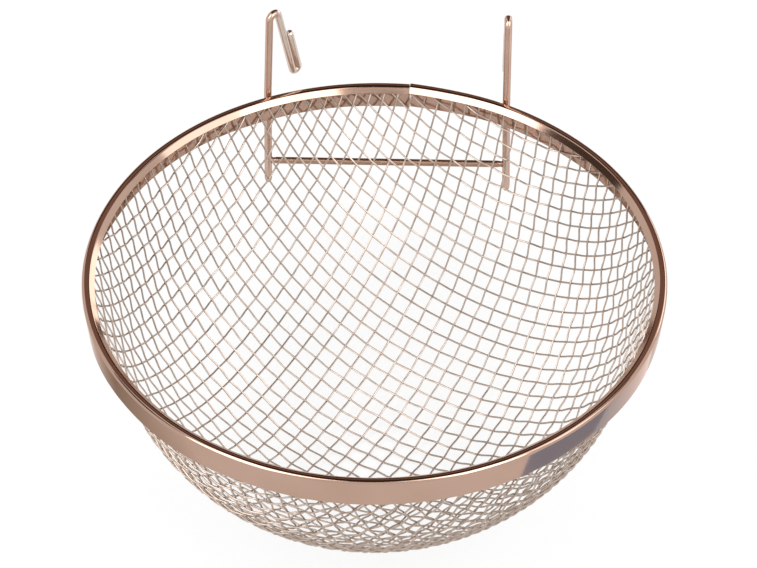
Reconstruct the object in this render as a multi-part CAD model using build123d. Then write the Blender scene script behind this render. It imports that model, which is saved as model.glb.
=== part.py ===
from build123d import *
import math
import os

# A nest pan for a bird cage: a bowl of wire cloth whose edge is clamped in a folded
# rim band, with two hooks and a cross bar behind it that hang it on the cage's bars.
# Millimetres. The origin lies midway between the hooks, level with the inside of their
# bends and in line with the middle of the bends. +Z is up, and the bowl is towards -Y.

# Rim band: one strip folded over the edge of the cloth
RIM_DIAMETER = 110.0
BAND_HEIGHT = 5.85
BAND_TAPER = 3.0
STRIP_THICKNESS = 0.3
LIP_GRIP = 0.7
SEAM_GAP = 0.2
SEAM_ANGLE = 4.4
FOLD_SIDES = 6

# Wire cloth, pressed to a bowl with a round floor and a tapered wall
BOWL_DEPTH = 49.0
WALL_TAPER = 20.0
FLOOR_FLATNESS = 0.88
MESH_WIRE = 0.42
WARP_CELLS = 23.75
WEFT_CELLS = 27.1
CLOTH_ANGLE = -30.4
DRAPE_RADIUS = 80.0
CHORD = 11.5
FLOOR_STEPS = 60
LAYER_CLEARANCE = 0.12
EDGE_CLEARANCE = 0.3

# Hooks and cross bar
HOOK_WIRE = 1.3
HOOK_SIDES = 8
HOOK_SPACING = 45.4
HOOK_RISE = 20.2
LEG_DROP = 23.1
POINT_LENGTH = 1.6
POINT_WIDTH = 0.5
BEND_RADIUS = 1.1
RETURN_LENGTH = 17.0
RETURN_ANGLE = 13.9
FOLD_RADIUS = 0.7
TIP_LENGTH = 10.3
LEFT_TWIST_ANGLE = 45.0
RIGHT_TWIST_ANGLE = -3.0
BAR_DROP = 17.2
WELD_GAP = 0.05

# Cloth section: a square bar of the round wire's area, in two layers that don't touch.
# The outer layer's corners stand out by the sag of a chord, so its sides clear the inner
# layer. The band's channel takes both, and what the cloth strays across it in the lip's grip.
# The cloth lies a little towards the lip there, which leaves both layers about as clear.
BAR_SIDE = MESH_WIRE * math.sqrt(math.pi) / 2
LAYER_STEP = BAR_SIDE + LAYER_CLEARANCE
CHORD_SAG = CHORD ** 2 / (4 * RIM_DIAMETER)
WARP_OFFSET = -LAYER_STEP / 2
WEFT_OFFSET = LAYER_STEP / 2 + CHORD_SAG
LIP_SHIFT = CHORD_SAG / 4
EDGE_STRAY = LIP_GRIP * (math.tan(math.radians(WALL_TAPER)) - math.tan(math.radians(BAND_TAPER)))
CHANNEL_WIDTH = LAYER_STEP + CHORD_SAG + BAR_SIDE + EDGE_STRAY + EDGE_CLEARANCE

# The roll at the top of the band, whose middle is level with the edge of the cloth
ROLL_INNER = CHANNEL_WIDTH / 2
ROLL_OUTER = ROLL_INNER + STRIP_THICKNESS
ROLL_CENTRE = RIM_DIAMETER / 2 - ROLL_OUTER

# Heights and places, from the hooks' seat
RIM_TOP = HOOK_WIRE - HOOK_RISE
BOWL_BOTTOM = RIM_TOP - BOWL_DEPTH
LEG_Y = -BEND_RADIUS
LEG_REACH = RIM_DIAMETER / 2 + HOOK_WIRE / 2 + WELD_GAP
BOWL_Y = LEG_Y - math.sqrt(LEG_REACH ** 2 - (HOOK_SPACING / 2) ** 2)


def rim_band():
    """The folded strip: outer wall, rolled top and inner lip, with an open butt seam."""
    slope = math.radians(BAND_TAPER)
    down = Vector(-math.sin(slope), -math.cos(slope))
    out = Vector(math.cos(slope), -math.sin(slope))
    centre = Vector(ROLL_CENTRE, RIM_TOP - ROLL_OUTER)
    wall = down * ((BAND_HEIGHT - ROLL_OUTER) / math.cos(slope))
    lip = down * (LIP_GRIP / math.cos(slope))

    def fold(radius, sides):
        turns = [math.pi * step / sides for step in range(sides + 1)]
        return [centre + (out * math.cos(a) - down * math.sin(a)) * radius for a in turns]

    outside = fold(ROLL_OUTER, FOLD_SIDES)
    inside = fold(ROLL_INNER, FOLD_SIDES // 2)
    outline = [outside[0] + wall, *outside, outside[-1] + lip]
    outline += [inside[-1] + lip, *reversed(inside), inside[0] + wall]
    section = Plane.XZ * make_face(Polyline(*outline, close=True))
    seam = math.degrees(SEAM_GAP / (RIM_DIAMETER / 2))
    strip = revolve(section, Axis.Z, 360 - seam)
    return Pos(0, BOWL_Y, 0) * Rot(0, 0, 90 - SEAM_ANGLE + seam / 2) * strip


def hook(side, twist):
    """A bent wire: pointed leg, bend, slanted return leg and a tip folded back up on it."""
    heading = math.radians(twist)
    leg_foot = Vector(side * HOOK_SPACING / 2, LEG_Y, RIM_TOP - LEG_DROP)
    plane = Plane(
        origin=leg_foot,
        x_dir=(math.sin(heading), math.cos(heading), 0),
        z_dir=(math.cos(heading), -math.sin(heading), 0),
    )
    bend_height = LEG_DROP - RIM_TOP - BEND_RADIUS + HOOK_WIRE / 2
    leg = Line((0, POINT_LENGTH), (0, bend_height))
    bend = JernArc(leg @ 1, leg % 1, BEND_RADIUS, RETURN_ANGLE - 180)
    back = PolarLine(bend @ 1, RETURN_LENGTH, direction=bend % 1)
    fold = JernArc(back @ 1, back % 1, FOLD_RADIUS, 180)
    tip = PolarLine(fold @ 1, TIP_LENGTH, direction=fold % 1)
    route = plane * (Curve() + [leg, bend, back, fold, tip])
    leg_end = Plane(route @ 0, x_dir=plane.x_dir, z_dir=(0, 0, 1))
    point_end = Plane(leg_foot, x_dir=plane.x_dir, z_dir=(0, 0, 1))
    flat_out = 180 / HOOK_SIDES
    section = leg_end * RegularPolygon(HOOK_WIRE / 2, HOOK_SIDES, rotation=flat_out)
    small_end = point_end * RegularPolygon(POINT_WIDTH / 2, HOOK_SIDES, rotation=flat_out)
    point = loft([small_end, section], ruled=True)
    return sweep(section, route) + point


def cross_bar():
    """The straight wire between the legs, a weld's width short of each."""
    length = HOOK_SPACING - HOOK_WIRE - 2 * WELD_GAP
    bar = Rot(0, 90, 0) * Cylinder(HOOK_WIRE / 2, length)
    return Pos(0, LEG_Y, RIM_TOP - BAR_DROP) * bar


def bowl_meridian():
    """Arc length, radius and height along the cloth's middle surface, from its lowest point to its edge.

    The floor is a quarter of an ellipse, FLOOR_FLATNESS as high as it is wide, and the wall is its
    tangent at WALL_TAPER. Their sizes follow from the edge, which the lip grips in mid-channel.
    """
    wall = math.radians(90 - WALL_TAPER)
    meet = math.atan(math.tan(wall) / FLOOR_FLATNESS)
    edge_rise = BOWL_DEPTH - ROLL_OUTER
    edge_radius = ROLL_CENTRE + EDGE_STRAY / 2 - LIP_SHIFT
    meet_rise = FLOOR_FLATNESS * (1 - math.cos(meet))
    span = math.sin(meet) * math.sin(wall) - meet_rise * math.cos(wall)
    half_width = (edge_radius * math.sin(wall) - edge_rise * math.cos(wall)) / span
    turns = [meet * step / FLOOR_STEPS for step in range(FLOOR_STEPS + 1)]
    points = [(half_width * math.sin(a), half_width * FLOOR_FLATNESS * (1 - math.cos(a))) for a in turns]
    points.append((edge_radius, edge_rise))
    arc = 0.0
    meridian = [(arc, 0.0, BOWL_BOTTOM)]
    for (r0, z0), (r1, z1) in zip(points, points[1:]):
        arc += math.hypot(r1 - r0, z1 - z0)
        meridian.append((arc, r1, BOWL_BOTTOM + z1))
    return meridian


def polar(direction):
    """Angle of a direction from straight down."""
    return math.acos(max(-1.0, min(1.0, -direction.Z)))


def draped_quarter(edge, warp_step, weft_step):
    """A quarter of the cloth's crossings, as directions from the centre of the sphere it is draped on.

    The middle warp and weft cross at the lowest point. From there each cell keeps its four sides,
    so its last corner is its first one turned by half about the middle of the other two.
    """
    warps = int(edge / warp_step) + 2
    wefts = int(edge / weft_step) + 2
    net = [[None] * wefts for _ in range(warps)]
    for i in range(warps):
        net[i][0] = Vector(math.sin(i * warp_step), 0, -math.cos(i * warp_step))
    for j in range(wefts):
        net[0][j] = Vector(0, math.sin(j * weft_step), -math.cos(j * weft_step))
    for i in range(1, warps):
        for j in range(1, wefts):
            middle = (net[i - 1][j] + net[i][j - 1]).normalized()
            corner = net[i - 1][j - 1]
            net[i][j] = middle * (2 * middle.dot(corner)) - corner
    return net


def whole_wire(half, mirror, edge):
    """Directions along one wire from edge to edge, from its crossings in one quarter."""
    inside = [d for d in half if polar(d) < edge]
    last = inside[-1]
    beyond = half[len(inside)]
    share = (edge - polar(last)) / (polar(beyond) - polar(last))
    inside.append((last * (1 - share) + beyond * share).normalized())
    other = [Vector(d.X * mirror[0], d.Y * mirror[1], d.Z) for d in inside[:0:-1]]
    return other + inside


def on_bowl(direction, offset, meridian):
    """The point of the bowl under a direction, and the outward normal there."""
    arc = min(polar(direction) * DRAPE_RADIUS, meridian[-1][0])
    upper = next(k for k in range(1, len(meridian)) if arc <= meridian[k][0])
    a0, r0, z0 = meridian[upper - 1]
    a1, r1, z1 = meridian[upper]
    share = (arc - a0) / (a1 - a0)
    around = Vector(direction.X, direction.Y, 0)
    around = around.normalized() if around.length > 0 else Vector(1, 0, 0)
    normal = around * ((z1 - z0) / (a1 - a0)) - Vector(0, 0, (r1 - r0) / (a1 - a0))
    point = around * (r0 + share * (r1 - r0)) + Vector(0, 0, z0 + share * (z1 - z0))
    return point + normal * offset, normal


def even_stations(directions, offset, meridian):
    """Points and normals along a wire, in chords of about the same length."""
    route = [on_bowl(d, offset, meridian)[0] for d in directions]
    runs = [0.0]
    for start, end in zip(route, route[1:]):
        runs.append(runs[-1] + (end - start).length)
    chords = max(2, round(runs[-1] / CHORD))
    stations = []
    upper = 1
    for k in range(chords + 1):
        run = runs[-1] * k / chords
        while runs[upper] < run and upper < len(runs) - 1:
            upper += 1
        share = (run - runs[upper - 1]) / (runs[upper] - runs[upper - 1])
        between = directions[upper - 1] * (1 - share) + directions[upper] * share
        stations.append(on_bowl(between.normalized(), offset, meridian))
    return stations


def flat_face(*corners):
    """A flat face with straight sides."""
    return Face(Wire.make_polygon(corners, close=True))


def cloth_wire(directions, offset, meridian):
    """One wire of the cloth: a square bar that bends at its stations."""
    stations = even_stations(directions, offset, meridian)
    last = len(stations) - 1
    rings = []
    for k, (point, normal) in enumerate(stations):
        along = stations[min(k + 1, last)][0] - stations[max(k - 1, 0)][0]
        side = along.cross(normal).normalized() * (BAR_SIDE / 2)
        lift = side.cross(along).normalized() * (BAR_SIDE / 2)
        rings.append([point + side + lift, point - side + lift, point - side - lift, point + side - lift])
    faces = [flat_face(*rings[0]), flat_face(*rings[-1])]
    for ring, after in zip(rings, rings[1:]):
        for k in range(len(ring)):
            faces.append(flat_face(ring[k - 1], ring[k], after[k]))
            faces.append(flat_face(ring[k - 1], after[k], after[k - 1]))
    return Solid(Shell(faces))


def cloth():
    """All wires of the cloth by node: the middle one alone, and the others in like pairs."""
    meridian = bowl_meridian()
    edge = meridian[-1][0] / DRAPE_RADIUS
    lip = edge - LIP_GRIP / math.cos(math.radians(WALL_TAPER)) / DRAPE_RADIUS
    net = draped_quarter(edge, lip / WARP_CELLS, lip / WEFT_CELLS)
    place = Pos(0, BOWL_Y, 0) * Rot(0, 0, CLOTH_ANGLE)
    families = [
        ("warp", WARP_CELLS, WARP_OFFSET, (1, -1), [list(row) for row in net]),
        ("weft", WEFT_CELLS, WEFT_OFFSET, (-1, 1), [list(row) for row in zip(*net)]),
    ]
    nodes = {}
    for family, cells, offset, mirror, rows in families:
        for number in range(int(cells)):
            wire = cloth_wire(whole_wire(rows[number], mirror, edge), offset, meridian)
            solids = [place * wire]
            if number:
                solids.append(place * Rot(0, 0, 180) * wire)
            nodes[f"{family}_wires_{number:02d}"] = Compound(solids)
    return nodes


def main():
    nodes = {
        "rim_band": rim_band(),
        "hook_left": hook(-1, LEFT_TWIST_ANGLE),
        "hook_right": hook(1, RIGHT_TWIST_ANGLE),
        "cross_bar": cross_bar(),
    }
    nodes.update(cloth())
    os.makedirs("parts", exist_ok=True)
    for name, shape in nodes.items():
        export_step(shape, f"parts/{name}.step")


main()
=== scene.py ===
"""Dresses the frame of a hook-on wire nest pan: rim band, woven wire cloth, hooks and cross bar.

Lengths are in millimetres, apart from the frame's own and those with names that end in _m,
which are in metres.
"""

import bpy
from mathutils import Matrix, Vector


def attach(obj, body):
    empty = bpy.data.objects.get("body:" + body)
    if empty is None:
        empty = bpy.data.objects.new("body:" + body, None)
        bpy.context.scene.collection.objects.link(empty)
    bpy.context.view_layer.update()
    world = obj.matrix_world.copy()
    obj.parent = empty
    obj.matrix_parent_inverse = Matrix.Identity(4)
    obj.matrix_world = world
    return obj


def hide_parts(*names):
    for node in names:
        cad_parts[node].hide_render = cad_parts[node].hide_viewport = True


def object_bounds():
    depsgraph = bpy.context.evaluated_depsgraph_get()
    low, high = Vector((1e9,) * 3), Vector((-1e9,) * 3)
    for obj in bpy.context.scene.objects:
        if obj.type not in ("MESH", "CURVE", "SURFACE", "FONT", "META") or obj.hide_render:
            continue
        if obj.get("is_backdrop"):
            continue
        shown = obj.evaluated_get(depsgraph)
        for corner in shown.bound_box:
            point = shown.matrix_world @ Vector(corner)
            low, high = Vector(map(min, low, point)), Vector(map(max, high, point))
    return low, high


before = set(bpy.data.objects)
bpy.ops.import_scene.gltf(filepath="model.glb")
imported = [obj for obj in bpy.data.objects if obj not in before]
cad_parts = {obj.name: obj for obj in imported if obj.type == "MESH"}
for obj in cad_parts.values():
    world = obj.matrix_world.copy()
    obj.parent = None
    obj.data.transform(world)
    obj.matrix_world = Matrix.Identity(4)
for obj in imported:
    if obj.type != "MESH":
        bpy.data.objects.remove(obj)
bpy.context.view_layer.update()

import logging
import math
from dataclasses import dataclass, field, replace
from enum import Enum

import bpy
import numpy as np
from mathutils import Vector

LOG = logging.getLogger("nest_pan")
MM = 0.001
TINY = 1e-9
BODY = "root"

# The colour sockets of a Mix node, which share their names with those of its other types.
MIX_A = 6
MIX_B = 7
MIX_RESULT = 2

Array = np.ndarray
Point = tuple[float, float]


class Family(Enum):
    """The two sets of wires in the cloth."""

    WARP = "warp"
    WEFT = "weft"


class Side(Enum):
    """The hook on the left or right, seen from the bowl, as the sign of its X."""

    LEFT = -1
    RIGHT = 1


class Slot(Enum):
    """The record's material slots."""

    STRIP = "rim_strip"
    HOOK = "hook_wire"
    MESH = "mesh_wire"


def linear_colour(code: str) -> tuple[float, float, float, float]:
    """Turns an sRGB hex colour to linear light, by the curve of the sRGB standard.

    Args:
        code: Six hex digits after a hash sign.

    Returns:
        Red, green, blue and an alpha of 1.
    """
    parts = [int(code[k : k + 2], 16) / 255 for k in (1, 3, 5)]
    light = [c / 12.92 if c <= 0.04045 else ((c + 0.055) / 1.055) ** 2.4 for c in parts]
    return light[0], light[1], light[2], 1.0


def add_node(
    tree: bpy.types.NodeTree,
    kind: str,
    settings: dict[str | int, object] | None = None,
    links: dict[str | int, bpy.types.NodeSocket] | None = None,
) -> bpy.types.Node:
    """Adds a node with its settings and links.

    Args:
        tree: The tree that takes the node.
        kind: The node's type name.
        settings: Attributes by name, or values of inputs by name or number.
        links: Outputs to join to inputs by name or number.

    Returns:
        The new node.
    """
    node = tree.nodes.new(kind)
    for name, value in (settings or {}).items():
        if isinstance(name, str) and hasattr(node, name):
            setattr(node, name, value)
        else:
            node.inputs[name].default_value = value
    for name, output in (links or {}).items():
        tree.links.new(output, node.inputs[name])
    return node


@dataclass(frozen=True)
class PlatedSteel:
    """Nickel-plated steel whose plate took on a warm, rosy cast.

    The plate is bright, so it mirrors the room, and what is left of the rolling or drawing
    shows as fine lines along the metal that draw a highlight out across them. The real lines
    are some hundredths of a millimetre wide, which is too fine to show in the render, so
    line_width_mm is as coarse as it needs to show.

    The colour drifts from plate to cast in clouds, edge is its tint at a glancing angle, and
    the roughness goes from smooth to worn across the lines.
    """

    name: str
    plate: str
    cast: str
    edge: str
    smooth: float
    worn: float
    line_length_mm: float
    line_width_mm: float
    line_depth_mm: float
    cloud_mm: float
    line_detail: float = 2.0
    cloud_detail: float = 3.0

    def material(self) -> bpy.types.Material:
        """Builds the node material.

        Returns:
            The material, named for the metal and how it was made.
        """
        material = bpy.data.materials.new(self.name)
        material.use_nodes = True
        tree = material.node_tree
        shader = tree.nodes["Principled BSDF"]
        shader.inputs["Metallic"].default_value = 1.0
        shader.inputs["Specular Tint"].default_value = linear_colour(self.edge)
        place = add_node(tree, "ShaderNodeTexCoord")
        self.cloud_plate(tree, shader, place)
        self.score_lines(tree, shader, place)
        return material

    def cloud_plate(
        self, tree: bpy.types.NodeTree, shader: bpy.types.Node, place: bpy.types.Node
    ) -> None:
        """Lets the plate's colour drift to its cast and back in soft clouds.

        Args:
            tree: The material's tree.
            shader: The shader that takes the colour.
            place: The coordinates on the piece.
        """
        clouds = add_node(
            tree,
            "ShaderNodeTexNoise",
            {"Scale": 1 / (self.cloud_mm * MM), "Detail": self.cloud_detail},
            {"Vector": place.outputs["Object"]},
        )
        tint = add_node(
            tree,
            "ShaderNodeMix",
            {"data_type": "RGBA", MIX_A: linear_colour(self.plate), MIX_B: linear_colour(self.cast)},
            {"Factor": clouds.outputs["Fac"]},
        )
        tree.links.new(tint.outputs[MIX_RESULT], shader.inputs["Base Color"])

    def score_lines(
        self, tree: bpy.types.NodeTree, shader: bpy.types.Node, place: bpy.types.Node
    ) -> None:
        """Draws the lines of rolling or drawing along the metal, as relief and as wear.

        Args:
            tree: The material's tree.
            shader: The shader that takes the roughness and the relief.
            place: The coordinates on the piece.
        """
        run = add_node(
            tree,
            "ShaderNodeMapping",
            {"Scale": (1 / self.line_length_mm, 1 / self.line_width_mm, 1.0)},
            {"Vector": place.outputs["UV"]},
        )
        lines = add_node(
            tree,
            "ShaderNodeTexNoise",
            {"Scale": 1.0, "Detail": self.line_detail},
            {"Vector": run.outputs["Vector"]},
        )
        polish = add_node(
            tree,
            "ShaderNodeMapRange",
            {"To Min": self.smooth, "To Max": self.worn},
            {"Value": lines.outputs["Fac"]},
        )
        tree.links.new(polish.outputs["Result"], shader.inputs["Roughness"])
        relief = add_node(
            tree,
            "ShaderNodeBump",
            {"Distance": self.line_depth_mm * MM},
            {"Height": lines.outputs["Fac"]},
        )
        tree.links.new(relief.outputs["Normal"], shader.inputs["Normal"])


# Cold-rolled strip, polished and then plated: almost a mirror, with faint lines along it.
ROLLED_STRIP = PlatedSteel(
    name="nickel_plated_steel_rolled_strip",
    plate="#C2A393",
    cast="#B09180",
    edge="#E8DDD6",
    smooth=0.07,
    worn=0.13,
    line_length_mm=30.0,
    line_width_mm=0.35,
    line_depth_mm=0.004,
    cloud_mm=14.0,
)

# Drawn wire, bent cold and plated: a little duller, with lines from the die along it.
DRAWN_WIRE = PlatedSteel(
    name="nickel_plated_steel_drawn_wire",
    plate="#D2B5A5",
    cast="#BC9D8D",
    edge="#E0D3CB",
    smooth=0.16,
    worn=0.28,
    line_length_mm=12.0,
    line_width_mm=0.25,
    line_depth_mm=0.005,
    cloud_mm=6.0,
)

# The same wire, paler and brighter: a painted highlight on the hooks from the bend to the tip.
PAINTED_HIGHLIGHT_WIRE = replace(
    DRAWN_WIRE,
    name="nickel_plated_steel_burnished_wire",
    plate="#E6D9CF",
    cast="#D2C2B6",
    edge="#F2ECE8",
    smooth=0.18,
    worn=0.30,
)

# The same wire, darker and browner: painted shade on the cross bar, for the dark bowl and band that it
# mirrors.
PAINTED_SHADE_WIRE = replace(
    DRAWN_WIRE,
    name="nickel_plated_steel_tarnished_wire",
    plate="#BA9B86",
    cast="#A88673",
    edge="#C9B6AA",
    smooth=0.18,
    worn=0.32,
)

# Thin wire, woven and then plated in the bowl: greyer, and the plate is thin on the crimps.
WOVEN_WIRE = PlatedSteel(
    name="nickel_plated_steel_woven_wire",
    plate="#CFC1B7",
    cast="#A99789",
    edge="#E2DCD7",
    smooth=0.30,
    worn=0.46,
    line_length_mm=3.0,
    line_width_mm=0.2,
    line_depth_mm=0.004,
    cloud_mm=2.5,
)

# Melted plate and steel at a spot weld: rougher and darker than what it joins.
SPOT_WELD = PlatedSteel(
    name="nickel_plated_steel_spot_weld",
    plate="#A58878",
    cast="#7C6255",
    edge="#B39A8D",
    smooth=0.22,
    worn=0.45,
    line_length_mm=0.6,
    line_width_mm=0.4,
    line_depth_mm=0.02,
    cloud_mm=0.8,
)


@dataclass(frozen=True)
class Wave:
    """One sine wave of an uneven line: its share, its radians along each axis and its start."""

    share: float
    along: tuple[float, ...]
    start: float


def ripple(places: Array, waves: tuple[Wave, ...]) -> Array:
    """Adds up waves, for what a maker's hand leaves uneven.

    Args:
        places: Rows of coordinates.
        waves: The waves to add.

    Returns:
        One number for each row.
    """
    return sum(wave.share * np.sin(places @ np.array(wave.along) + wave.start) for wave in waves)


def unit(vectors: Array) -> Array:
    """Scales rows of vectors to length 1."""
    return vectors / np.linalg.norm(vectors, axis=-1, keepdims=True)


def running_total(lengths: Array) -> Array:
    """Adds lengths up from 0 at the start of the first."""
    return np.concatenate([[0.0], np.cumsum(lengths)])


def quarter_round(share: Array) -> Array:
    """Rises from 0 to 1 as a quarter of a circle does."""
    return np.sqrt(share * (2 - share))


def turned(points: Array, angle: float) -> Array:
    """Turns rows of points round the Z axis.

    Args:
        points: Rows of X, Y and Z.
        angle: The turn in radians.

    Returns:
        The turned points.
    """
    x, y, z = points.T
    cos, sin = math.cos(angle), math.sin(angle)
    return np.column_stack([cos * x - sin * y, sin * x + cos * y, z])


def smooth_line(points: Array, steps: int) -> tuple[Array, Array]:
    """Draws a smooth line through points, as a Catmull-Rom spline.

    Args:
        points: Rows of X, Y and Z.
        steps: Steps from each point to the next.

    Returns:
        Numbers along the line, which are whole at the points, and the line.
    """
    last = len(points) - 1
    numbers = np.linspace(0, last, last * steps + 1)
    base = np.clip(np.floor(numbers).astype(int), 1, last - 2)
    share = (numbers - base)[:, None]
    before, start, end, after = (points[base + k] for k in (-1, 0, 1, 2))
    bend = 2 * before - 5 * start + 4 * end - after
    swing = 3 * (start - end) + after - before
    return numbers, start + 0.5 * share * (end - before + share * (bend + share * swing))


def tube(path: Array, across: Array, radii: Array, sides: int) -> Array:
    """Rings of a round bar along a path.

    Args:
        path: Points on the bar's middle line.
        across: A direction at each point that is never along the path.
        radii: The bar's radius at each point.
        sides: Points in each ring.

    Returns:
        Points by ring, by place in the ring, by axis.
    """
    along = unit(np.gradient(path, axis=0))
    side = unit(np.cross(along, across))
    lift = np.cross(side, along)
    turn = np.linspace(0, 2 * math.pi, sides, endpoint=False)[None, :, None]
    spread = np.cos(turn) * side[:, None, :] + np.sin(turn) * lift[:, None, :]
    return path[:, None, :] + radii[:, None, None] * spread


def link_mesh(
    name: str, points_m: Array, faces: list[list[int]], finish: bpy.types.Material
) -> bpy.types.Object:
    """Makes an object from points and faces and links it to the scene.

    Args:
        name: The object's name.
        points_m: Rows of X, Y and Z.
        faces: The numbers of each face's points.
        finish: The object's material.

    Returns:
        The object.
    """
    mesh = bpy.data.meshes.new(name)
    mesh.from_pydata(points_m.tolist(), [], faces)
    mesh.materials.append(finish)
    made = bpy.data.objects.new(name, mesh)
    bpy.context.scene.collection.objects.link(made)
    return made


@dataclass
class Skin:
    """Gathers the rings of one piece and writes them as one mesh."""

    points: list[Array] = field(default_factory=list)
    faces: list[list[int]] = field(default_factory=list)
    places: list[Point] = field(default_factory=list)
    count: int = 0

    def add_rings(self, rings: Array) -> None:
        """Adds a closed skin over a row of closed rings, with a flat face on either end.

        Args:
            rings: Points by ring, by place in the ring, by axis.
        """
        rows, sides = rings.shape[:2]
        run = running_total(np.linalg.norm(np.diff(rings.mean(axis=1), axis=0), axis=1))
        middle = rings[rows // 2]
        girth = running_total(np.linalg.norm(np.roll(middle, -1, axis=0) - middle, axis=1))
        for row in range(rows - 1):
            for side in range(sides):
                after = (side + 1) % sides
                low = self.count + row * sides
                high = low + sides
                self.faces.append([low + side, low + after, high + after, high + side])
                self.places += [
                    (run[row], girth[side]),
                    (run[row], girth[side + 1]),
                    (run[row + 1], girth[side + 1]),
                    (run[row + 1], girth[side]),
                ]
        last = self.count + (rows - 1) * sides
        self.faces.append([self.count + side for side in reversed(range(sides))])
        self.faces.append([last + side for side in range(sides)])
        self.places += [(run[0], girth[side]) for side in reversed(range(sides))]
        self.places += [(run[-1], girth[side]) for side in range(sides)]
        self.points.append(rings.reshape(-1, 3))
        self.count += rows * sides

    def piece(
        self, name: str, finish: bpy.types.Material, nodes: list[str], crease: float = 30.0
    ) -> bpy.types.Object:
        """Writes the mesh, rides it on the frame and reports it.

        Args:
            name: The piece's name.
            finish: Its material.
            nodes: The solids that the piece stands for, if any.
            crease: Edges that turn by more than this many degrees stay sharp.

        Returns:
            The piece.
        """
        made = link_mesh(name, np.concatenate(self.points) * MM, self.faces, finish)
        mesh = made.data
        layer = mesh.uv_layers.new(name="along_and_around")
        layer.data.foreach_set("uv", np.array(self.places, np.float32).ravel())
        mesh.polygons.foreach_set("use_smooth", [True] * len(mesh.polygons))
        mesh.set_sharp_from_angle(angle=math.radians(crease))
        mesh.validate()
        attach(made, BODY)
        if nodes:
            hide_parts(*nodes)
        LOG.info("%s: %d faces", name, len(self.faces))
        return made


@dataclass(frozen=True)
class Pan:
    """Sizes that the pieces share: those of the solids, but with the cross bar's slope.

    The bar's drops under the rim's top are those at its left and right ends.
    """

    rim_diameter: float = 110.0
    hook_wire: float = 1.3
    hook_spacing: float = 45.4
    hook_rise: float = 20.2
    bend_radius: float = 1.1
    weld_gap: float = 0.05
    bar_drops: tuple[float, float] = (17.48, 16.58)

    @property
    def rim_top(self) -> float:
        """Height of the rim's top, which is under the hooks' seat."""
        return self.hook_wire - self.hook_rise

    @property
    def leg_y(self) -> float:
        """Place of the hooks' legs, in front of the seat."""
        return -self.bend_radius

    @property
    def bowl_y(self) -> float:
        """Place of the bowl's middle, in front of the seat."""
        reach = self.rim_diameter / 2 + self.hook_wire / 2 + self.weld_gap
        return self.leg_y - math.sqrt(reach**2 - (self.hook_spacing / 2) ** 2)


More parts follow.
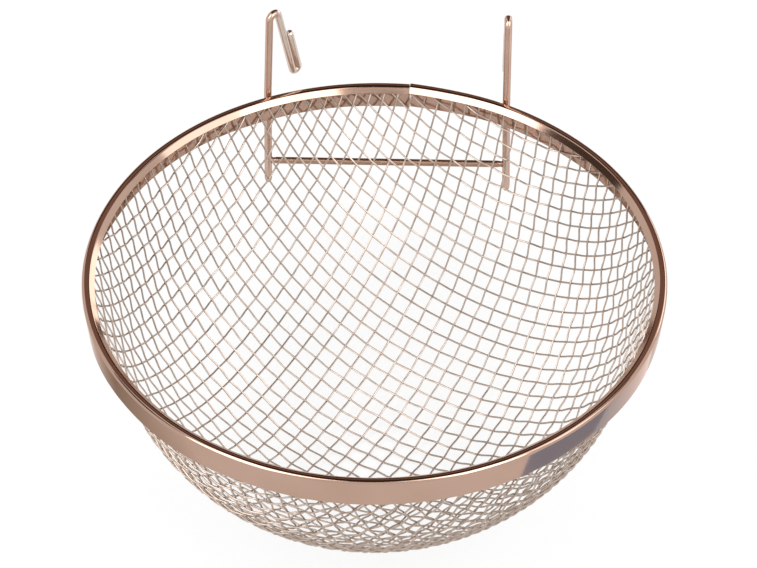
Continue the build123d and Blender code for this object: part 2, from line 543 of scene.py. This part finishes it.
@dataclass
class RimBand:
    """The strip folded over the cloth's edge, butted at a seam behind, where its ends stand out.

    The hinge is how far in and down from the strip's edge and top the line lies about which
    the fold tilts and under which the wall leans.
    """

    pan: Pan
    height: float = 5.85
    taper: float = 3.0
    thickness: float = 0.3
    hinge: float = 1.12
    corner: float = 0.75
    crown_round: float = 1.5
    crown_turn: tuple[float, float] = (10.0, 14.0)
    lip_corner: float = 0.7
    lip: float = 0.8
    lip_slope: float = 48.0
    cut_round: float = 0.09
    seam_gap: float = 0.12
    seam_angle: float = 4.4
    seam_peaks: tuple[float, float] = (0.12, 0.36)
    seam_reach: float = 11.0
    side_lean: float = 6.0
    sway: float = 0.03
    sway_waves: tuple[Wave, ...] = (Wave(1.0, (3,), 1.0), Wave(0.7, (7,), 2.2), Wave(0.5, (13,), 0.0))
    tilt: float = 0.015
    tilt_waves: tuple[Wave, ...] = (Wave(1.0, (5,), 0.4), Wave(0.8, (11,), 1.7))
    steps: int = 420
    fold_steps: int = 6

    def fold(self, inset: float) -> list[Point]:
        """The folded top of the strip: a tight corner, a crown pressed almost flat, a tight corner.

        Args:
            inset: How far inside the strip's outer face.

        Returns:
            Points outwards and upwards of the first corner's middle, from the wall to the lip.
        """
        crown = 90 - self.crown_turn[0], 90 + self.crown_turn[1]
        bends = (
            (self.corner, -self.taper, crown[0]),
            (self.crown_round, *crown),
            (self.lip_corner, crown[1], 180 - self.lip_slope),
        )
        middle = np.zeros(2)
        last = self.corner
        points = []
        for radius, start, end in bends:
            turns = np.radians(np.linspace(start, end, self.fold_steps + 1))
            rays = np.column_stack([np.cos(turns), np.sin(turns)])
            middle = middle + (last - radius) * rays[0]
            points += (middle + (radius - inset) * rays)[1 if points else 0 :].tolist()
            last = radius
        return points

    def cut(self, first: Point, second: Point) -> list[Point]:
        """The rounded edge of the strip at the foot of the wall or lip.

        Args:
            first: The edge's first corner.
            second: Its second corner.

        Returns:
            Points that take the place of the two corners.
        """
        slope = math.radians(self.taper)
        rise = (self.cut_round * math.sin(slope), self.cut_round * math.cos(slope))
        over = [(b - a) * self.cut_round / self.thickness for a, b in zip(first, second)]
        return [
            (first[0] + rise[0], first[1] + rise[1]),
            (first[0] + over[0], first[1] + over[1]),
            (second[0] - over[0], second[1] - over[1]),
            (second[0] + rise[0], second[1] + rise[1]),
        ]

    def section(self) -> Array:
        """The strip's outline.

        Returns:
            Points outwards and upwards of the rim's edge and top, in a closed loop.
        """
        outside = self.fold(0.0)
        inside = self.fold(self.thickness)[::-1]
        top = max(up for _, up in outside)
        wall = self.height - top

        def below(point: Point, drop: float, slope: float) -> Point:
            """The point of a wall or lip that far under the fold."""
            return point[0] - drop * math.tan(math.radians(slope)), point[1] - drop

        foot = self.cut(below(inside[-1], wall, self.taper), below(outside[0], wall, self.taper))
        lip_foot = self.cut(
            below(outside[-1], self.lip, self.lip_slope), below(inside[0], self.lip, self.lip_slope)
        )
        return np.array(foot + outside + lip_foot + inside) - (self.corner, top)

    def build(self, finish: bpy.types.Material) -> bpy.types.Object:
        """Turns the section round the bowl.

        Args:
            finish: The strip's material.

        Returns:
            The band.
        """
        out, up = self.section().T
        edge = self.pan.rim_diameter / 2
        gap = self.seam_gap / edge
        turns = np.linspace(gap / 2, 2 * math.pi - gap / 2, self.steps + 1)[:, None]
        around = math.radians(90 - self.seam_angle) + turns
        from_seam = np.minimum(turns, 2 * math.pi - turns) * edge
        near_seam = np.clip(1 - from_seam / self.seam_reach, 0, 1) ** 2
        push = np.where(turns < math.pi, *self.seam_peaks) * near_seam
        push += self.sway * ripple(turns, self.sway_waves)[:, None]
        tilt = self.tilt * ripple(turns, self.tilt_waves)[:, None]
        lean = math.tan(math.radians(self.side_lean)) * np.cos(around) ** 2
        reach = edge + out + push + tilt * up + lean * np.minimum(up + self.hinge, 0)
        height = self.pan.rim_top + up - tilt * (out + self.hinge)
        rings = np.stack(
            [reach * np.cos(around), self.pan.bowl_y + reach * np.sin(around), height], axis=2
        )
        skin = Skin()
        skin.add_rings(rings[::-1])
        return skin.piece("rim_band_strip", finish, ["rim_band"])


@dataclass
class WireCloth:
    """The plain-woven cloth, draped to the bowl.

    The net is laid on a sphere first, where each cell keeps the length of its sides, and is
    carried to the bowl along its meridians. Each wire then goes over and under the others.
    The bowl is a little deeper and rounder than that of the solids, and its wire thinner, as
    the photograph shows them.
    """

    pan: Pan
    depth: float = 50.0
    wall_taper: float = 20.0
    floor_flatness: float = 0.9
    edge_radius: float = 53.89
    edge_drop: float = 1.14
    lip_grip: float = 0.7
    wire: float = 0.35
    warp_cells: float = 23.75
    weft_cells: float = 27.1
    spare_cells: int = 4
    angle: float = -30.4
    drape_radius: float = 80.0
    crimp: float = 0.5
    stray: float = 0.14
    stray_x: tuple[Wave, ...] = (Wave(1.0, (0, 9, 4), 0.3), Wave(0.6, (21, -8, 0), 1.1))
    stray_y: tuple[Wave, ...] = (Wave(1.0, (8, 0, -5), 1.9), Wave(0.6, (11, 19, 0), 0.5))
    floor_steps: int = 200
    steps_per_cell: int = 6
    sides: int = 8
    meridian: tuple[Array, Array, Array] = field(init=False)
    edge: float = field(init=False)
    steps: dict[Family, float] = field(init=False)

    def __post_init__(self) -> None:
        """Works out the bowl's meridian and the cells' angles on the sphere."""
        self.meridian = self.bowl_meridian()
        self.edge = float(self.meridian[0][-1]) / self.drape_radius
        lip = self.edge - self.lip_grip / math.cos(math.radians(self.wall_taper)) / self.drape_radius
        self.steps = {Family.WARP: lip / self.warp_cells, Family.WEFT: lip / self.weft_cells}

    def bowl_meridian(self) -> tuple[Array, Array, Array]:
        """The cloth's middle surface, from its lowest point to its edge.

        Returns:
            Arc length, radius and height.
        """
        wall = math.radians(90 - self.wall_taper)
        meet = math.atan(math.tan(wall) / self.floor_flatness)
        rise = self.depth - self.edge_drop
        floor_rise = self.floor_flatness * (1 - math.cos(meet))
        span = math.sin(meet) * math.sin(wall) - floor_rise * math.cos(wall)
        half_width = (self.edge_radius * math.sin(wall) - rise * math.cos(wall)) / span
        turn = np.linspace(0, meet, self.floor_steps)
        out = np.append(half_width * np.sin(turn), self.edge_radius)
        up = np.append(half_width * self.floor_flatness * (1 - np.cos(turn)), rise)
        arc = running_total(np.hypot(np.diff(out), np.diff(up)))
        return arc, out, up + self.pan.rim_top - self.depth

    def quarter(self) -> Array:
        """Crossings in a quarter of the cloth, and some past its edge.

        Returns:
            Directions from the sphere's centre, by warp, by weft, by axis.
        """
        warp_step, weft_step = self.steps[Family.WARP], self.steps[Family.WEFT]
        warps = int(self.edge / warp_step) + self.spare_cells
        wefts = int(self.edge / weft_step) + self.spare_cells
        net = np.zeros((warps, wefts, 3))
        i, j = np.arange(warps) * warp_step, np.arange(wefts) * weft_step
        net[:, 0] = np.stack([np.sin(i), 0 * i, -np.cos(i)], axis=1)
        net[0, :] = np.stack([0 * j, np.sin(j), -np.cos(j)], axis=1)
        for a in range(1, warps):
            for b in range(1, wefts):
                middle = unit(net[a - 1, b] + net[a, b - 1])
                corner = net[a - 1, b - 1]
                net[a, b] = middle * (2 * middle.dot(corner)) - corner
        return net

    def strayed(self, directions: Array) -> Array:
        """Moves a wire about a little, as handling moves it in real cloth.

        Args:
            directions: Directions from the sphere's centre.

        Returns:
            The moved directions.
        """
        push = np.column_stack(
            [ripple(directions, self.stray_x), ripple(directions, self.stray_y), 0 * directions[:, 2]]
        )
        return unit(directions + push * self.stray / self.drape_radius)

    def on_bowl(self, directions: Array, angles: Array) -> tuple[Array, Array]:
        """Carries directions from the sphere to the bowl.

        Args:
            directions: Directions from the sphere's centre.
            angles: Their angles from straight down.

        Returns:
            Points on the bowl, and the normals there.
        """
        arc, out, up = self.meridian
        run = angles * self.drape_radius
        slope_out = np.interp(run, arc, np.gradient(out, arc))
        slope_up = np.interp(run, arc, np.gradient(up, arc))
        level = np.hypot(directions[:, 0], directions[:, 1])
        around = directions[:, :2] / np.maximum(level, TINY)[:, None]
        around[level < TINY] = (1, 0)
        normals = np.column_stack([around * slope_up[:, None], -slope_out])
        points = np.column_stack([around * np.interp(run, arc, out)[:, None], np.interp(run, arc, up)])
        return points, normals

    def wire_route(self, family: Family, number: int, net: Array) -> tuple[Array, Array]:
        """One wire's middle line, over and under the wires that it crosses.

        Args:
            family: Whether it is a warp or a weft.
            number: Its place from the middle.
            net: The crossings in a quarter.

        Returns:
            Points, and the bowl's normals there.
        """
        half = net[number] if family is Family.WARP else net[:, number]
        mirror = np.array([1, -1, 1] if family is Family.WARP else [-1, 1, 1])
        crossings = np.concatenate([half[:0:-1] * mirror, half])
        numbers, line = smooth_line(crossings, self.steps_per_cell)
        line = self.strayed(unit(line))
        angles = np.arccos(np.clip(-line[:, 2], -1, 1))
        inside = angles <= self.edge
        points, normals = self.on_bowl(line[inside], angles[inside])
        from_middle = numbers[inside] - (len(half) - 1)
        sign = 1 if family is Family.WARP else -1
        wave = sign * (-1) ** number * np.cos(math.pi * from_middle) * self.wire * self.crimp
        return points + normals * wave[:, None], normals

    def build(self, finish: bpy.types.Material) -> None:
        """Makes each wire's piece: the middle ones alone, and the others in like pairs.

        Args:
            finish: The wire's material.
        """
        net = self.quarter()
        lie = math.radians(self.angle)
        place = np.array([0, self.pan.bowl_y, 0])
        counts = {Family.WARP: int(self.warp_cells), Family.WEFT: int(self.weft_cells)}
        for family, count in counts.items():
            for number in range(count):
                points, normals = self.wire_route(family, number, net)
                radii = np.full(len(points), self.wire / 2)
                turns = (lie, lie + math.pi) if number else (lie,)
                skin = Skin()
                for turn in turns:
                    path = turned(points, turn) + place
                    skin.add_rings(tube(path, turned(normals, turn), radii, self.sides))
                node = f"{family.value}_wires_{number:02d}"
                skin.piece(f"woven_{node}", finish, [node])


@dataclass
class Hook:
    """A hook bent from one wire: leg, bend, slanted return leg and a tip folded back up.

    The wire is a little thicker than that of the solids, as the photograph shows it. The tip's
    dome is given as distances from its end and the radii there, both as shares of the wire's
    radius. The stretch with a painted highlight, in a paler finish, starts some rings past the
    crest of the bend.
    """

    pan: Pan
    side: Side
    twist: float
    point_width: float
    lean: float
    wire: float = 1.45
    leg_drop: float = 23.1
    point_length: float = 1.6
    return_length: float = 17.0
    return_angle: float = 13.9
    fold_radius: float = 0.7
    tip_length: float = 10.3
    tip_dome: tuple[Point, ...] = ((0.0, 0.35), (0.12, 0.66), (0.4, 0.92), (0.8, 1.0))
    rings_to_highlight: int = 2
    point_steps: int = 4
    leg_steps: int = 23
    bend_steps: int = 16
    return_steps: int = 11
    tip_steps: int = 8
    sides: int = 20

    def route(self) -> Array:
        """The wire's middle line in the hook's own plane.

        Returns:
            Points as distance behind the leg and height above its foot.
        """
        bend, fold = self.pan.bend_radius, self.fold_radius
        top = self.leg_drop - self.pan.rim_top - bend + self.pan.hook_wire / 2
        slant = math.radians(self.return_angle)
        point = np.linspace(0, self.point_length, self.point_steps + 1)
        shank = np.linspace(self.point_length, top, self.leg_steps + 1)[1:]
        heights = np.concatenate([point, shank])
        leg = np.column_stack([0 * heights, heights])
        turn = np.linspace(math.pi, slant, self.bend_steps + 1)[1:]
        arch = np.column_stack([bend + bend * np.cos(turn), top + bend * np.sin(turn)])
        heading = np.array([math.sin(slant), -math.cos(slant)])
        outward = np.array([math.cos(slant), math.sin(slant)])
        lengths = np.linspace(0, self.return_length, self.return_steps + 1)[1:, None]
        back = arch[-1] + lengths * heading
        middle = back[-1] + fold * outward
        turn = np.linspace(0, math.pi, self.bend_steps + 1)[1:, None]
        folded = middle - fold * np.cos(turn) * outward + fold * np.sin(turn) * heading
        dome = np.array(self.tip_dome)[::-1, 0] * self.wire / 2
        straight = np.linspace(0, self.tip_length - dome[0], self.tip_steps + 1)[1:-1]
        lengths = np.concatenate([straight, self.tip_length - dome])[:, None]
        tip = folded[-1] - lengths * heading
        return np.concatenate([leg, arch, back, folded, tip])

    def build(self, finish: bpy.types.Material, highlight_finish: bpy.types.Material) -> bpy.types.Object:
        """Runs the round wire along its route.

        Args:
            finish: The wire's material.
            highlight_finish: Its paler material from the bend to the tip, a painted highlight.

        Returns:
            The hook.
        """
        behind, height = self.route().T
        turn = math.radians(self.twist)
        above_rim = np.maximum(height - self.leg_drop, 0)
        path = np.column_stack(
            [
                self.side.value * self.pan.hook_spacing / 2 + behind * math.sin(turn),
                self.pan.leg_y + behind * math.cos(turn),
                self.pan.rim_top - self.leg_drop + height,
            ]
        )
        path[:, 0] += math.tan(math.radians(self.lean)) * above_rim
        across = np.tile([math.cos(turn), -math.sin(turn), 0.0], (len(path), 1))
        cut, full = self.point_width / 2, self.wire / 2
        radii = cut + (full - cut) * quarter_round(np.clip(height / self.point_length, 0, 1))
        radii[-len(self.tip_dome) :] *= np.array(self.tip_dome)[::-1, 1]
        skin = Skin()
        skin.add_rings(tube(path, across, radii, self.sides))
        node = f"hook_{self.side.name.lower()}"
        made = skin.piece(f"{node}_wire", finish, [node])
        made.data.materials.append(highlight_finish)
        # From past the bend's crest to the tip the hook takes the paler finish: a painted highlight.
        first_highlighted = int(np.argmax(height)) + self.rings_to_highlight
        for face in made.data.polygons:
            face.material_index = int(min(face.vertices) // self.sides >= first_highlighted)
        return made


@dataclass
class CrossBar:
    """The straight wire that keeps the legs apart, rounded where the welder pressed its ends."""

    pan: Pan
    neck: float = 0.55
    neck_length: float = 1.4
    neck_steps: int = 6
    steps: int = 23
    sides: int = 20

    def build(self, finish: bpy.types.Material) -> bpy.types.Object:
        """Runs the wire from leg to leg.

        Args:
            finish: The wire's material.

        Returns:
            The bar.
        """
        length = self.pan.hook_spacing - self.pan.hook_wire - 2 * self.pan.weld_gap
        end = np.linspace(0, self.neck_length, self.neck_steps + 1)
        middle = np.linspace(self.neck_length, length - self.neck_length, self.steps + 1)[1:-1]
        x = np.concatenate([end, middle, length - end[::-1]])
        near = np.clip(np.minimum(x, length - x) / self.neck_length, 0, 1)
        radii = self.pan.hook_wire / 2 * (self.neck + (1 - self.neck) * quarter_round(near))
        height = self.pan.rim_top - np.interp(x, (0, length), self.pan.bar_drops)
        path = np.column_stack([x - length / 2, np.full_like(x, self.pan.leg_y), height])
        across = np.tile([0.0, 1.0, 0.0], (len(path), 1))
        skin = Skin()
        skin.add_rings(tube(path, across, radii, self.sides))
        return skin.piece("cross_bar_wire", finish, ["cross_bar"])


@dataclass
class SpotWelds:
    """Beads of melted metal where the legs meet the rim and the bar.

    A bead's rings stop at the cap angle, in degrees above and below its middle.
    """

    pan: Pan
    rim_drop: float = 3.2
    bead: float = 0.62
    rim_stretch: float = 1.6
    cap_angle: float = 84.6
    lump: float = 0.07
    lumps_around: int = 3
    lumps_up: int = 2
    rows: int = 9
    sides: int = 16

    def bead_rings(self, place: Array, size: Array) -> Array:
        """A lumpy rounded bead, with its lumps turned by its place.

        Args:
            place: Its middle.
            size: Its half widths along X, Y and Z.

        Returns:
            Rings from its foot to its top.
        """
        cap = math.radians(self.cap_angle)
        rise = np.linspace(-cap, cap, self.rows)[:, None]
        turn = np.linspace(0, 2 * math.pi, self.sides, endpoint=False)
        lump = 1 + self.lump * np.sin(self.lumps_around * turn + self.lumps_up * rise + place[0])
        flat = np.cos(rise) * lump
        grid = np.stack([flat * np.cos(turn), flat * np.sin(turn), np.sin(rise) + 0 * turn], axis=2)
        return place + grid * size

    def build(self, finish: bpy.types.Material) -> None:
        """Makes the beads of both legs.

        Args:
            finish: The weld's material.
        """
        leg_x = self.pan.hook_spacing / 2
        leg_radius = self.pan.hook_wire / 2
        toward = math.atan2(leg_x, self.pan.leg_y - self.pan.bowl_y)
        sizes = {
            "rim": self.bead * np.array([1.0, 1.0, self.rim_stretch]),
            "bar": self.bead * np.ones(3),
        }
        for side, bar_drop in zip(Side, self.pan.bar_drops):
            spots = {
                "rim": (
                    side.value * (leg_x - math.sin(toward) * leg_radius),
                    self.pan.leg_y - math.cos(toward) * leg_radius,
                    self.pan.rim_top - self.rim_drop,
                ),
                "bar": (
                    side.value * (leg_x - leg_radius),
                    self.pan.leg_y,
                    self.pan.rim_top - bar_drop,
                ),
            }
            for name, spot in spots.items():
                skin = Skin()
                skin.add_rings(self.bead_rings(np.array(spot), sizes[name]))
                skin.piece(f"weld_{name}_{side.name.lower()}", finish, [])


@dataclass(frozen=True)
class Wall:
    """A part of the room's shell, with its first and last angles in degrees.

    Across is towards the right. Over is up from behind the pan, over it and to the front.
    """

    name: str
    colour: str
    across: tuple[float, float]
    over: tuple[float, float]


@dataclass(frozen=True)
class SoftBox:
    """A lamp, with its bearing from the front towards the right and its rise in degrees."""

    name: str
    bearing: float
    rise: float
    width_m: float
    height_m: float
    watts: float


@dataclass(frozen=True)
class Card:
    """A card on the table beside the pan, which may fade to another colour along its front edge."""

    name: str
    colour: str
    corners: tuple[Point, Point, Point, Point]
    strength: float = 1.0
    front: str | None = None


# A dim warm room behind and above the pan, for the brown of the reflections in the bright plate.
WALLS = (
    Wall("dark_back_wall", "#3E2C23", across=(-34, 34), over=(4, 34)),
    Wall("upper_back_wall", "#957B6F", across=(-22, 22), over=(34, 53)),
    Wall("dark_ceiling", "#463429", across=(-22, 22), over=(53, 118)),
    Wall("left_wall", "#A0837E", across=(-36, -22), over=(34, 64)),
    Wall("right_wall", "#98796F", across=(22, 36), over=(34, 64)),
    Wall("left_side_wall", "#5A4F45", across=(-68, -42), over=(66, 106)),
    Wall("right_side_wall", "#3B3630", across=(38, 50), over=(62, 84)),
)

# Two large soft boxes in front of the pan, and two weak ones at its right and behind it.
SOFT_BOXES = (
    SoftBox("soft_box_left", bearing=-50, rise=46, width_m=0.68, height_m=1.2, watts=8.5),
    SoftBox("soft_box_right", bearing=46, rise=48, width_m=0.5, height_m=1.2, watts=6.3),
    SoftBox("soft_box_side", bearing=82, rise=40, width_m=0.5, height_m=0.7, watts=1.75),
    SoftBox("soft_box_back", bearing=138, rise=9, width_m=0.7, height_m=0.4, watts=1.75),
)

# Cards that only the band mirrors. The blue-grey card is a painted shadow of the pan on the table at
# its right;
# the white card, fading to blue-grey beside it, puts a cool light on the band's right end, and the
# others a warm one on its left end.
CARDS = (
    Card("painted_shadow_card", "#B4C6E4", ((61, -109), (111, -129), (112, -59), (75, -73)), 0.9),
    Card("white_card", "#FFFFFF", ((75, -73), (112, -59), (115, -10), (64, -30)), 1.9, "#9DB0C6"),
    Card("buff_card", "#B8B2A9", ((-60, -52), (-118, -52), (-120, -106), (-58, -106)), 1.0, "#FFFFFF"),
    Card("cream_card", "#FFFFFF", ((-60, -15), (-115, -15), (-118, -52), (-60, -52)), 1.3, "#A7A29B"),
)


def from_front(bearing: float, rise: float) -> Vector:
    """The direction of a lamp or the camera, seen from the pan.

    Args:
        bearing: Degrees from the front towards the right.
        rise: Degrees above the horizon.

    Returns:
        A direction of length 1.
    """
    turn, up = math.radians(bearing), math.radians(rise)
    return Vector((math.sin(turn) * math.cos(up), -math.cos(turn) * math.cos(up), math.sin(up)))


@dataclass
class Studio:
    """White paper floor, soft boxes, cards, the shell of a room and the camera.

    The camera's distance is in millimetres, as the pan is.
    """

    pan: Pan
    elevation: float = 43.3
    azimuth: float = 2.7
    distance: float = 3000.0
    pixels_per_mm: float = 5.326
    image_width: int = 757
    image_height: int = 568
    rim_pixel: tuple[float, float] = (374.5, 279.6)
    sensor_mm: float = 36.0
    clip_end_m: float = 100.0
    room_light: float = 0.45
    paper: str = "#8B8B8B"
    floor_side_m: float = 40.0
    room_radius_m: float = 1.6
    wall_steps: int = 32
    box_distance_m: float = 1.2
    card_lift_m: float = 0.0005

    @staticmethod
    def show_background(tree: bpy.types.NodeTree) -> bpy.types.NodeSocket:
        """1 for rays that show the background: from the camera, a reflection or through glass.

        Args:
            tree: The tree of the floor or the world.

        Returns:
            The socket with that number.
        """
        path = add_node(tree, "ShaderNodeLightPath")
        either = add_node(
            tree,
            "ShaderNodeMath",
            {"operation": "MAXIMUM"},
            {0: path.outputs["Is Camera Ray"], 1: path.outputs["Is Glossy Ray"]},
        )
        every = add_node(
            tree,
            "ShaderNodeMath",
            {"operation": "MAXIMUM"},
            {0: either.outputs[0], 1: path.outputs["Is Transmission Ray"]},
        )
        return every.outputs[0]

    def world(self) -> None:
        """White room light, plain for the object and at strength 1 where it is seen."""
        world = bpy.data.worlds.new("studio_room")
        bpy.context.scene.world = world
        world.use_nodes = True
        tree = world.node_tree
        strength = add_node(
            tree,
            "ShaderNodeMapRange",
            {"To Min": self.room_light, "To Max": 1.0},
            {"Value": self.show_background(tree)},
        )
        background = tree.nodes["Background"]
        background.inputs["Color"].default_value = linear_colour("#FFFFFF")
        tree.links.new(strength.outputs["Result"], background.inputs["Strength"])

    def white_paper(self) -> bpy.types.Material:
        """Matt paper that shows as white: most is its own glow, and the lamps' share takes the shadow.

        Returns:
            The material.
        """
        lamplit = linear_colour(self.paper)
        material = bpy.data.materials.new("white_paper")
        material.use_nodes = True
        tree = material.node_tree
        tree.nodes.remove(tree.nodes["Principled BSDF"])
        glow = add_node(
            tree,
            "ShaderNodeMapRange",
            {"To Min": 0.0, "To Max": 1 - lamplit[0]},
            {"Value": self.show_background(tree)},
        )
        light = add_node(
            tree,
            "ShaderNodeEmission",
            {"Color": linear_colour("#FFFFFF")},
            {"Strength": glow.outputs["Result"]},
        )
        matt = add_node(tree, "ShaderNodeBsdfDiffuse", {"Color": lamplit})
        both = add_node(tree, "ShaderNodeAddShader", {}, {0: light.outputs[0], 1: matt.outputs[0]})
        tree.links.new(both.outputs[0], tree.nodes["Material Output"].inputs["Surface"])
        return material

    def floor(self) -> None:
        """A sheet of white paper under the pan that keeps a faint shadow."""
        low_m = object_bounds()[0].z
        half_m = self.floor_side_m / 2
        corners = ((-1, -1), (1, -1), (1, 1), (-1, 1))
        points_m = np.array([(x * half_m, y * half_m, low_m) for x, y in corners])
        made = link_mesh("paper_floor", points_m, [[0, 1, 2, 3]], self.white_paper())
        made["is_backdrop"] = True

    @staticmethod
    def paint(
        name: str, colour: str, strength: float = 1.0, front: str | None = None
    ) -> bpy.types.Material:
        """Matt paint in a colour that the room's light doesn't change.

        Args:
            name: The material's name.
            colour: Its colour.
            strength: How bright it is lit.
            front: The colour that it fades to along its front edge, if it fades.

        Returns:
            The material.
        """
        material = bpy.data.materials.new(name)
        material.use_nodes = True
        tree = material.node_tree
        tree.nodes.remove(tree.nodes["Principled BSDF"])
        glow = add_node(
            tree, "ShaderNodeEmission", {"Color": linear_colour(colour), "Strength": strength}
        )
        if front:
            place = add_node(tree, "ShaderNodeTexCoord")
            parts = add_node(tree, "ShaderNodeSeparateXYZ", {}, {0: place.outputs["Generated"]})
            fade = add_node(
                tree,
                "ShaderNodeMix",
                {"data_type": "RGBA", MIX_A: linear_colour(front), MIX_B: linear_colour(colour)},
                {"Factor": parts.outputs["Y"]},
            )
            tree.links.new(fade.outputs[MIX_RESULT], glow.inputs["Color"])
        tree.links.new(glow.outputs[0], tree.nodes["Material Output"].inputs["Surface"])
        return material

    @staticmethod
    def only_reflected(prop: bpy.types.Object) -> None:
        """Keeps a studio prop to what the metal mirrors, with no shadow or light of its own.

        Args:
            prop: The wall or card.
        """
        prop.visible_camera = False
        prop.visible_diffuse = False
        prop.visible_shadow = False
        prop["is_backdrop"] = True

    def shell(self, wall: Wall) -> None:
        """Puts up a part of the room, which only reflections show.

        Args:
            wall: The part.
        """
        turns = np.radians(np.linspace(*wall.across, self.wall_steps + 1))
        heights = np.radians(np.linspace(*wall.over, self.wall_steps + 1))[:, None]
        level = np.cos(turns)
        grid = np.stack(
            [np.sin(turns) + 0 * heights, level * np.cos(heights), level * np.sin(heights)], axis=2
        )
        numbers = np.arange(grid[..., 0].size).reshape(grid.shape[:2])
        faces = np.stack(
            [numbers[:-1, :-1], numbers[:-1, 1:], numbers[1:, 1:], numbers[1:, :-1]], axis=2
        )
        points_m = self.room_radius_m * grid.reshape(-1, 3)
        finish = self.paint(f"{wall.name}_paint", wall.colour)
        self.only_reflected(link_mesh(wall.name, points_m, faces.reshape(-1, 4).tolist(), finish))

    def table_card(self, card: Card) -> None:
        """Lays a card on the table, which only the band mirrors.

        Args:
            card: The card.
        """
        low_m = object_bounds()[0].z + self.card_lift_m
        points_m = np.array([(x * MM, y * MM, low_m) for x, y in card.corners])
        finish = self.paint(f"{card.name}_face", card.colour, card.strength, card.front)
        self.only_reflected(link_mesh(card.name, points_m, [[0, 1, 2, 3]], finish))

    def rim_middle(self) -> Vector:
        """The middle of the rim, in millimetres."""
        return Vector((0, self.pan.bowl_y, self.pan.rim_top))

    def soft_box(self, box: SoftBox) -> None:
        """Hangs a soft box that faces the pan.

        Args:
            box: The soft box.
        """
        data = bpy.data.lights.new(box.name, "AREA")
        data.shape = "RECTANGLE"
        data.size = box.width_m
        data.size_y = box.height_m
        data.energy = box.watts
        made = bpy.data.objects.new(box.name, data)
        way = from_front(box.bearing, box.rise)
        made.location = self.rim_middle() * MM + way * self.box_distance_m
        made.rotation_euler = (-way).to_track_quat("-Z", "Y").to_euler()
        made.visible_camera = False
        bpy.context.scene.collection.objects.link(made)

    def camera(self) -> None:
        """A long lens at the photograph's angle, with the rim where the photograph has it."""
        data = bpy.data.cameras.new("camera")
        data.sensor_width = self.sensor_mm
        data.lens = self.pixels_per_mm * self.distance * self.sensor_mm / self.image_width
        data.dof.use_dof = False
        data.clip_end = self.clip_end_m
        made = bpy.data.objects.new("camera", data)
        bpy.context.scene.collection.objects.link(made)
        turn = math.radians(self.azimuth)
        back = from_front(self.azimuth, self.elevation)
        right = Vector((math.cos(turn), math.sin(turn), 0))
        up = back.cross(right)
        off_right = (self.image_width / 2 - self.rim_pixel[0]) / self.pixels_per_mm
        off_down = (self.image_height / 2 - self.rim_pixel[1]) / self.pixels_per_mm
        target = self.rim_middle() + right * off_right - up * off_down
        made.location = (target + back * self.distance) * MM
        made.rotation_euler = (-back).to_track_quat("-Z", "Y").to_euler()
        bpy.context.scene.camera = made

    def build(self) -> None:
        """Sets up the whole studio."""
        bpy.context.scene.view_settings.view_transform = "Standard"
        self.world()
        self.floor()
        for wall in WALLS:
            self.shell(wall)
        for box in SOFT_BOXES:
            self.soft_box(box)
        for card in CARDS:
            self.table_card(card)
        self.camera()


def main() -> None:
    """Builds the pan piece by piece, then the studio round it."""
    logging.basicConfig(level=logging.INFO, format="%(message)s")
    LOG.info("frame: %d nodes", len(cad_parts))
    pan = Pan()
    drawn = DRAWN_WIRE.material()
    # The paler wire for the hooks from the bend to the tip is a painted highlight.
    painted_highlight = PAINTED_HIGHLIGHT_WIRE.material()
    RimBand(pan).build(ROLLED_STRIP.material())
    WireCloth(pan).build(WOVEN_WIRE.material())
    Hook(pan, Side.LEFT, twist=45.0, point_width=0.35, lean=1.2).build(drawn, painted_highlight)
    Hook(pan, Side.RIGHT, twist=-3.0, point_width=0.9, lean=0.8).build(drawn, painted_highlight)
    # The cross bar's darker, browner finish is painted shade.
    CrossBar(pan).build(PAINTED_SHADE_WIRE.material())
    SpotWelds(pan).build(SPOT_WELD.material())
    Studio(pan).build()


if __name__ == "__main__":
    main()
